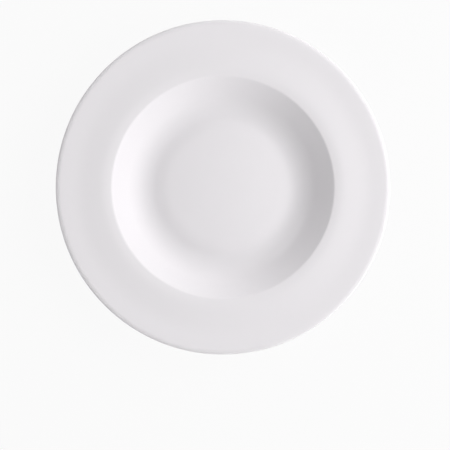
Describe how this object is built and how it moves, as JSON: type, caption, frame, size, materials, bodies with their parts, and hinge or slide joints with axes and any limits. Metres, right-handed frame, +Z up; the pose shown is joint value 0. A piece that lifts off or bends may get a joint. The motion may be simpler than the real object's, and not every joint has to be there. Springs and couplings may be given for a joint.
{
  "type": "deep plate",
  "caption": "Round deep plate with a wide, gently dished rim, a sloped well with a slightly crowned floor, and a flared foot ring, in white glazed porcelain, for soup, pasta or salad.",
  "frame": {"origin": "middle of the foot ring's land, on the surface that the plate stands on", "axes": "+Z up along the axis of revolution, through the middle of the well; +X and +Y level, and alike because the plate is round"},
  "size_m": [0.3, 0.3, 0.036],
  "materials": {
    "porcelain": "matte",
    "glaze": "gloss"
  },
  "bodies": {
    "root": {"porcelain_body": "porcelain", "glaze_coat": "glaze", "base_glaze": "glaze"}
  },
  "joints": []
}
